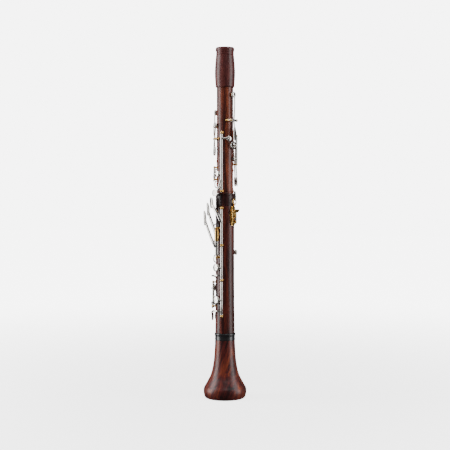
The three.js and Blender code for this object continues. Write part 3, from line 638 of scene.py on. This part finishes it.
# Each key: how its tube lies, then its arms, cups, rings and touches. "upright" is the heights of a
# tube's ends and "across" their distances sideways from the pivot. An arm is a list of places (around,
# out, up). A cup is (around, up, out, radius) and a ring (around, up, out, outer, inner, thick). A touch
# is (place, wide, tall, thick, shape).
KEYS = {
    "register_key": {
        "across": (-6.9, 6.9),
        "arms": [[(180, 18.4, 472), (180, 19.4, 484), (180, 19.8, 500), (180, 19.6, 514)],
                 [(180, 18.4, 472), (180, 19.0, 466), (180, 20.0, 456)]],
        "cups": [(180, 515, 17.6, 4.8)],
        "touches": [((180, 20.4, 449.5), 9.5, 24, 2.4, {"taper": -0.35, "tilt": -3, "dish": 0.5})]},
    "thumb_ring_key": {
        "upright": (400.65, 443.35),
        "arms": [[(207, 20.4, 430), (202, 19.8, 430), (197, 17.9, 430)],
                 [(207, 20.4, 407), (201, 20.4, 407), (194, 19.6, 407)]],
        "cups": [(193, 407, 17.2, 4.6)], "rings": [(180, 430, 16.3, 6.9, 4.5, 1.5)]},
    "throat_a_key": {
        "across": (-3.3, 3.3),
        "arms": [[(8, 18.4, 462), (8, 19.6, 472), (8, 19.6, 485)],
                 [(8, 18.4, 462), (8, 19.6, 445), (8, 19.9, 424)]],
        "cups": [(8, 486, 17.3, 4.8)], "touches": [((8, 19.6, 421), 7, 16, 2.4, {"tilt": -2})]},
    "throat_g_sharp_key": {
        "across": (-2.5, 2.5),
        "arms": [[(52, 18.4, 441), (52, 19.6, 451), (52, 19.6, 463)],
                 [(52, 18.4, 441), (52, 19.5, 431), (52, 19.5, 423)]],
        "cups": [(52, 464, 17.3, 4.8)], "touches": [((52, 19.4, 421), 7, 16, 2.4, {"tilt": -2})]},
    "upper_ring_key": {
        "upright": (358.65, 410.35),
        "arms": [[(320, 20.4, 384), (330, 20.2, 384), (341, 18.6, 384)],
                 [(320, 20.4, 364), (330, 20.2, 364), (341, 18.6, 364)],
                 [(320, 20.2, 398), (329, 20.2, 398), (336, 19.6, 398)],
                 [(320, 20.2, 366), (327, 21.8, 359), (333, 22.4, 351), (335, 22.4, 342)]],
        "cups": [(337, 398, 17.3, 4.3)],
        "rings": [(0, 384, 16.6, 6.7, 4.9, 1.5), (0, 364, 16.6, 6.7, 4.9, 1.5)]},
    "c_sharp_key": {
        "upright": (355.15, 448.35),
        "arms": [[(107, 20.1, 441), (118, 20.6, 441), (132, 20.4, 441), (146, 19.6, 441)],
                 [(107, 20, 374), (99, 20.9, 365), (91, 22, 356), (85, 22.3, 351)],
                 [(107, 20, 360), (98, 21.4, 357), (85, 22.3, 351)]],
        "cups": [(147, 441, 17.3, 4.6)], "touches": [((74, 22.3, 349.5), 13, 11, 2.4, {"dish": 0.5})]},
    "left_sliver_key": {
        "upright": (375.15, 389.85),
        "arms": [[(50, 19.4, 382), (62, 20, 382), (78, 19.7, 382)],
                 [(50, 19.2, 379), (41, 19.7, 377), (33, 19.3, 375)]],
        "cups": [(80, 382, 17.3, 5)], "touches": [((31, 19.2, 375), 4.6, 13, 2.2, {})]},
    "low_f_key": {
        "upright": (204.65, 258.35),
        "arms": [[(108, 21.6, 223), (95, 22.8, 223), (78, 22.4, 223)],
                 [(108, 21.4, 210), (85, 22.4, 210), (55, 22.4, 209), (25, 22.4, 208), (355, 22.4, 206),
                  (337, 22.4, 198), (333, 22.4, 180), (339, 22.6, 163)]],
        "cups": [(76, 223, 19.9, 6.7)], "touches": [((345, 22.8, 158), 8, 13, 2.4, {})]},
    "low_e_key": {
        "upright": (143.65, 199.35),
        "arms": [[(108, 21.6, 168), (95, 22.8, 168), (78, 22.4, 168)],
                 [(108, 21.4, 149.5), (85, 22.4, 149.5), (60, 22.5, 149), (38, 22.7, 146), (20, 23, 140)]],
        "cups": [(76, 168, 19.9, 7.3)], "touches": [((14, 22.8, 138), 8, 14, 2.4, {})]},
    "low_f_sharp_key": {
        "upright": (159.65, 195.35),
        "arms": [[(45, 21.4, 187), (28, 22.6, 187), (3, 22.2, 187)],
                 [(45, 21.2, 164), (32, 22.8, 162), (19, 23, 159)]],
        "cups": [(0, 187, 19.9, 5.6)], "touches": [((14, 22.8, 158), 8, 13, 2.4, {})]},
    "low_g_sharp_key": {
        "upright": (124.65, 145.35),
        "arms": [[(322, 21.6, 135), (308, 22.2, 135), (291, 21.9, 135)],
                 [(322, 21.6, 138), (332, 22.6, 138), (342, 22.9, 138)]],
        "cups": [(289, 135, 19.4, 6.2)], "touches": [((345, 22.8, 138), 8, 14, 2.4, {})]},
    "lower_ring_key": {
        "upright": (228.65, 319.35),
        "arms": [[(305, 21.8, up), (322, 22, up), (342, 20.4, up)] for up in LOWER_HOLES]
                + [[(305, 21.8, 310), (322, 22.3, 310), (340, 22, 310)],
                   [(305, 21.4, 312), (318, 21.9, 320), (328, 20.6, 332), (334, 19, 341)]],
        "cups": [(342, 310, 19.5, 5.4)], "rings": [(0, up, 18.6, 7.2, 5.2, 1.5) for up in LOWER_HOLES]},
    "right_sliver_key": {
        "upright": (236.65, 259.35),
        "arms": [[(262, 21.2, 248), (248, 22, 248), (237, 21.6, 248)],
                 [(262, 21.2, 251), (272, 21.6, 251), (281, 21.4, 251)]],
        "cups": [(235, 248, 19.2, 4.6)], "touches": [((283, 21.3, 251), 4.8, 15, 2.2, {})]},
    "lever_inner": {
        "upright": (263.65, 321.35),
        "arms": [[(108, 21.6, 300), (96, 23.4, 311), (78, 24.7, 323), (64, 25, 330)]],
        "touches": [((60, 25, 333), 10, 18, 4.4, {"bend": 0.5})]},
    "lever_middle": {
        "upright": (268.2, 287.35),
        "arms": [[(84, 22.4, 278), (72, 26.2, 296), (58, 29, 313), (54, 29.6, 319)]],
        "touches": [((52, 29.8, 322), 9, 22, 4.2, {"bend": 0.7, "taper": -0.15})]},
    "lever_outer": {
        "upright": (243.65, 267.8),
        "arms": [[(84, 22.4, 256), (70, 27.6, 272), (56, 33, 295), (52, 34.6, 303)]],
        "touches": [((50, 35, 307), 9, 25, 4.2, {"bend": 0.6, "taper": -0.15})]},
}

# Side keys: name, side of the pivot's middle that the key lies on, then around and up of pad and touch.
SIDE_KEYS = [
    ("side_key_1", -1, (240, 428), (231, 369)), ("side_key_2", 1, (259, 446), (250, 369)),
    ("side_key_3", -1, (276, 424), (250, 344)), ("side_key_4", 1, (296, 446), (269, 344)),
]


def add_side_keys():
    """The four side keys share one shape: a cup above the pivot and a long touch below it."""
    for name, sign, (pad_around, pad_up), (touch_around, touch_up) in SIDE_KEYS:
        around, _, up = hinge_of(name)
        lever = around + sign * 7.5
        reach = [(lever, 19, up), (lever, 20.2, up - 12)]
        if touch_up < LOWER_TOP:
            # The two longest arms turn late, so that they clear the other two keys at every angle.
            reach.append((touch_around + 17, 20.9, touch_up + 13))
        KEYS[name] = {
            "across": sorted((sign * 0.2, sign * 3.8)),
            "arms": [[(lever, 19, up), (pad_around, 19.6, pad_up - 10), (pad_around, 19.7, pad_up - 1)],
                     [*reach, (touch_around, 21.3, touch_up + 4)]],
            "cups": [(pad_around, pad_up, 17.3, 4.1)],
            "touches": [((touch_around, 21, touch_up), 6, 17, 2.2, {"tilt": -2})]}


# Pads that the CAD has as nodes of their own.
PAD_NODES = {key: key.replace("_key", "_pad") for key in (
    "register_key", "thumb_ring_key", "throat_a_key", "upper_ring_key", "c_sharp_key", "left_sliver_key",
    "low_f_key", "low_e_key", "low_f_sharp_key", "low_g_sharp_key", "lower_ring_key")}


def key_tube(name, spec):
    """The two ends of a key's hinge tube."""
    around, out, up = hinge_of(name)
    if "upright" in spec:
        return [place(around, out, height) for height in spec["upright"]]
    return [place(around, out, up) + sideways(around) * side * MM for side in spec["across"]]


def key(name, spec):
    """One key: its plated metal, a gold tube where it has one, and its pads."""
    cups = spec.get("cups", [])
    mesh = bmesh.new()
    start, end = key_tube(name, spec)
    if name in WIDE_TUBES:
        add_rod(mesh, start, end, *WIDE_TUBES[name])
    elif name not in GOLD_TUBES:
        add_tube(mesh, start, end)
    for places in spec["arms"]:
        add_arm(mesh, places, *(LEVER_ARM if name.startswith("lever") else KEY_ARM))
    for cup in cups:
        add_cup(mesh, *cup)
    for ring in spec.get("rings", []):
        add_ring(mesh, *ring)
    for spot, wide, tall, thick, shape in spec.get("touches", []):
        add_touch(mesh, spot, wide, tall, thick, **shape)
    finish_piece(name + "_plated", mesh, name, SILVER, [name])
    if name in GOLD_TUBES:
        mesh = bmesh.new()
        add_rod(mesh, start, end, *GOLD_TUBES[name])
        finish_piece(name + "_barrel", mesh, name, GOLD)
    for around, up, out, radius in cups:
        mesh = bmesh.new()
        r = radius - 0.5
        profile = [(0.3, -1.75), (r - 0.9, -1.7), (r - 0.3, -1.5), (r, -1.0), (r, -0.4), (r - 0.3, 0.1),
                   (0.3, 0.15)]
        turn_profile(mesh, profile, 36, facing(around, out, up))
        nodes = [PAD_NODES[name]] if name in PAD_NODES else []
        finish_piece(name + "_pad_disc", mesh, name, SKIN, nodes)


# Hinges: node, key that turns on it, then either post heights or half the distance between two posts.
UPRIGHT_HINGES = [
    ("thumb_ring_hinge", "thumb_ring_key", (398, 446)), ("upper_ring_hinge", "upper_ring_key", (356, 413)),
    ("c_sharp_hinge", "c_sharp_key", (352.5, 451)), ("left_sliver_hinge", "left_sliver_key", (372.5, 392.5)),
    ("long_hinge", "low_f_key", (324, 261, 202, 141)), ("lever_hinge", "lever_outer", (290, 241)),
    ("low_f_sharp_hinge", "low_f_sharp_key", (157, 198)),
    ("low_g_sharp_hinge", "low_g_sharp_key", (122, 148)),
    ("lower_ring_hinge", "lower_ring_key", (226, 322)),
    ("right_sliver_hinge", "right_sliver_key", (234, 262)),
]
CROSS_HINGES = [
    ("register_hinge", "register_key", 9.5), ("throat_a_hinge", "throat_a_key", 6),
    ("throat_g_sharp_hinge", "throat_g_sharp_key", 5.2), ("side_hinge_upper", "side_key_1", 6.5),
    ("side_hinge_lower", "side_key_3", 6.5),
]


def hinge_pieces(node, tops, direction, depth):
    """Gold posts under some points, and the rod that runs through their balls."""
    posts = bmesh.new()
    for top in tops:
        add_post(posts, top, direction, depth)
    finish_piece(node + "_posts", posts, ROOT, GOLD, [node], 50)
    rod = bmesh.new()
    run = (tops[-1] - tops[0]).normalized()
    add_rod(rod, tops[0] - run * 2.5 * MM, tops[-1] + run * 2.5 * MM, ROD, 20, 0.15)
    finish_piece(node + "_rod", rod, ROOT, SILVER)


def hinges():
    for node, name, heights in UPRIGHT_HINGES:
        around, out, _ = hinge_of(name)
        wood = UPPER_WOOD if heights[0] > LOWER_TOP else LOWER_WOOD
        tops = [place(around, out, up) for up in sorted(heights)]
        hinge_pieces(node, tops, outward(around), out - wood + 0.1)
    for node, name, half in CROSS_HINGES:
        around, out, up = hinge_of(name)
        tops = [place(around, out, up) + sideways(around) * side * MM for side in (-half, half)]
        hinge_pieces(node, tops, outward(around), out - math.sqrt(UPPER_WOOD ** 2 - half ** 2) + 0.3)


def soften(piece, width):
    bevel = piece.modifiers.new("soft_edges", "BEVEL")
    bevel.width = width * MM
    bevel.segments = 3
    bevel.limit_method = "ANGLE"
    bevel.angle_limit = math.radians(35)


def oval(middle, wide, tall):
    """A ring's cross-section, at a distance from the ring's axis."""
    angles = [2 * math.pi * i / 14 for i in range(14)]
    return [(middle + wide * math.cos(a), tall * math.sin(a)) for a in angles]


def thumb_rest():
    """The shield-shaped plate with its slide, eye and strap ring, then the hook and screw."""
    bottom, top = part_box("thumb_rest_plate")[0].z / MM, 327
    mesh = bmesh.new()
    rows = []
    for i in range(25):
        share = i / 24
        up = bottom + (top - bottom) * share
        half = 15 + 10 * math.sin(math.pi * min(1, share * 1.05)) ** 0.6
        arc = [180 - half + 2 * half * k / 16 for k in range(17)]
        outer = [mesh.verts.new(place(a, 17.3 - 0.5 * abs((a - 180) / half) ** 6, up)) for a in arc]
        inner = [mesh.verts.new(place(a, 16.15, up)) for a in reversed(arc)]
        rows.append(outer + inner)
    stitch(mesh, rows)
    add_block(mesh, (-4.6, 16.6, bottom + 1.5), (4.6, 18.2, top - 1))
    add_block(mesh, (-1.2, 17, top - 2), (1.2, 19.2, top + 1.6))
    plate = finish_piece("thumb_rest_shield", mesh, ROOT, GOLD, ["thumb_rest_plate"])
    soften(plate, 0.35)
    eye_y, eye_up = 19.6, 329.9
    mesh = bmesh.new()
    matrix = Matrix.Translation(Vector((0, eye_y, eye_up)) * MM) @ Matrix.Rotation(math.pi / 2, 4, "Y")
    turn_profile(mesh, oval(1.9, 0.55, 0.85), 32, matrix, closed=True)
    finish_piece("thumb_rest_eye", mesh, ROOT, GOLD)
    mesh = bmesh.new()
    hang = 4.6
    matrix = Matrix.Translation(Vector((0, eye_y, eye_up + hang)) * MM) @ Matrix.Rotation(math.pi / 2, 4, "X")
    turn_profile(mesh, oval(hang, 0.85, 0.85), 48, matrix, closed=True)
    finish_piece("strap_ring_wire", mesh, "strap_ring", GOLD, ["strap_ring"])
    thumb_hook()
    thumb_screw()


def thumb_hook():
    """The sliding hook: two rails beside the slot, joined at their ends, and a curled lip."""
    mesh = bmesh.new()
    face, back, foot, top = 18.5, 20.2, 297.6, 321.8
    for side in (-1, 1):
        inner, outer = sorted((side * 1.7, side * 6.2))
        add_block(mesh, (inner, face, foot), (outer, back, top))
    add_block(mesh, (-2, face, foot), (2, back, 300.4))
    add_block(mesh, (-2, face, 310.6), (2, back, top))
    curve = spline([Vector((face + 0.9, 317.2)), Vector((face + 3.4, 317.2)), Vector((face + 5.8, 319)),
                    Vector((face + 7.3, 321.6))], 6)
    last = len(curve) - 1
    rows = []
    for i, spot in enumerate(curve):
        run = (curve[min(i + 1, last)] - curve[max(i - 1, 0)]).normalized()
        across = Vector((-run.y, run.x))
        half = 6.3 - 1.6 * (i / last) ** 3
        row = [mesh.verts.new(Vector((half * k / 6, *(spot + across))) * MM) for k in range(-6, 7)]
        row += [mesh.verts.new(Vector((half * k / 6, *(spot - across))) * MM) for k in range(6, -7, -1)]
        rows.append(row)
    stitch(mesh, rows)
    hook = finish_piece("thumb_hook_lip", mesh, "thumb_hook", GOLD, ["thumb_hook"])
    soften(hook, 0.4)


def thumb_screw():
    """The clamp screw with a knurled head."""
    low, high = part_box("thumb_screw")
    matrix = facing(180, 0, (low.z + high.z) / 2 / MM)
    mesh = bmesh.new()
    turn_profile(mesh, [(0.9, 16.9), (1.1, 17.1), (1.1, 20.6), (2.6, 20.7), (2.95, 21), (2.95, 22.1),
                        (2.7, 22.5), (1.2, 22.6), (0.2, 22.6)], 40, matrix)
    for i in range(20):
        spin = matrix @ Matrix.Rotation(2 * math.pi * i / 20, 4, "Z")
        add_block(mesh, (2.75, -0.18, 20.9), (3.0, 0.18, 22.2), spin)
    finish_piece("thumb_screw_head", mesh, "thumb_screw", SILVER, ["thumb_screw"])


# ---------------------------------------------------------------- stage, light and camera

def area_light(name, spot, target, size, power):
    data = bpy.data.lights.new(name, "AREA")
    data.shape = "RECTANGLE"
    data.size, data.size_y = size
    data.energy = power
    light = bpy.data.objects.new(name, data)
    bpy.context.scene.collection.objects.link(light)
    light.location = spot
    light.rotation_euler = (Vector(target) - Vector(spot)).to_track_quat("-Z", "Y").to_euler()


def seen_only(stage_piece):
    """A bright stage piece that doesn't light the instrument."""
    stage_piece.visible_diffuse = False
    stage_piece.visible_glossy = False
    stage_piece.visible_shadow = False


def dome():
    """A plain white backdrop all round."""
    mesh = bmesh.new()
    bmesh.ops.create_uvsphere(mesh, u_segments=48, v_segments=24, radius=DOME_RADIUS)
    data = bpy.data.meshes.new("backdrop")
    mesh.to_mesh(data)
    mesh.free()
    backdrop = bpy.data.objects.new("backdrop", data)
    bpy.context.scene.collection.objects.link(backdrop)
    material, _, _, shader = new_material("backdrop_white")
    shader.inputs["Base Color"].default_value = (0, 0, 0, 1)
    shader.inputs["Emission Color"].default_value = (1, 1, 1, 1)
    shader.inputs["Emission Strength"].default_value = BACKDROP_GLOW
    data.materials.append(material)
    seen_only(backdrop)


def studio():
    """A white floor that glows more with distance until it meets the backdrop, and a faint world."""
    mesh = bpy.data.meshes.new("floor")
    corners = [(x * FLOOR_REACH, y * FLOOR_REACH, 0) for x, y in ((-1, -1), (1, -1), (1, 1), (-1, 1))]
    mesh.from_pydata(corners, [], [(0, 1, 2, 3)])
    floor = bpy.data.objects.new("floor", mesh)
    bpy.context.scene.collection.objects.link(floor)
    material, nodes, links, shader = new_material("floor_white")
    shader.inputs["Base Color"].default_value = (0.93, 0.93, 0.93, 1)
    shader.inputs["Roughness"].default_value = 0.7
    shader.inputs["Emission Color"].default_value = (1, 1, 1, 1)
    where = nodes.new("ShaderNodeTexCoord")
    distance = nodes.new("ShaderNodeVectorMath")
    distance.operation = "LENGTH"
    links.new(where.outputs["Object"], distance.inputs[0])
    glow = nodes.new("ShaderNodeMapRange")
    glow.interpolation_type = "SMOOTHSTEP"
    glow.inputs["From Min"].default_value = GLOW_FROM
    glow.inputs["From Max"].default_value = GLOW_TO
    glow.inputs["To Min"].default_value = FLOOR_GLOW
    glow.inputs["To Max"].default_value = BACKDROP_GLOW
    links.new(distance.outputs["Value"], glow.inputs["Value"])
    links.new(glow.outputs["Result"], shader.inputs["Emission Strength"])
    mesh.materials.append(material)
    seen_only(floor)
    dome()
    world = bpy.data.worlds.new("studio")
    bpy.context.scene.world = world
    world.use_nodes = True
    background = world.node_tree.nodes["Background"]
    background.inputs["Color"].default_value = (1, 1, 1, 1)
    background.inputs["Strength"].default_value = WORLD_GLOW


def camera():
    data = bpy.data.cameras.new("camera")
    data.lens = 78
    data.sensor_width = 36
    data.clip_start = 0.01
    camera_object = bpy.data.objects.new("camera", data)
    bpy.context.scene.collection.objects.link(camera_object)
    camera_object.location = outward(VIEW_AROUND) * VIEW_DISTANCE + Vector((0, 0, VIEW_HEIGHT))
    aim = Vector((0, 0, AIM_HEIGHT)) - camera_object.location
    camera_object.rotation_euler = aim.to_track_quat("-Z", "Y").to_euler()
    bpy.context.scene.camera = camera_object


def lights():
    """A softbox on either side of the view and one overhead."""
    left = outward(VIEW_AROUND - 86) * 0.9
    right = outward(VIEW_AROUND + 73)
    area_light("left_softbox", (left.x, left.y, 0.5), (0, 0, 0.3), (0.55, 1.4), 13)
    area_light("right_softbox", (right.x, right.y, 0.45), (0, 0, 0.3), (0.55, 1.3), 8)
    area_light("top_softbox", (0.2, 0.4, 1.8), (0, 0, 0.2), (1.2, 1.2), 14)


camera()
studio()
lights()
add_side_keys()
bell()
joints()
barrel()
corks()
tone_tubes()
for key_name, key_spec in KEYS.items():
    key(key_name, key_spec)
hinges()
thumb_rest()
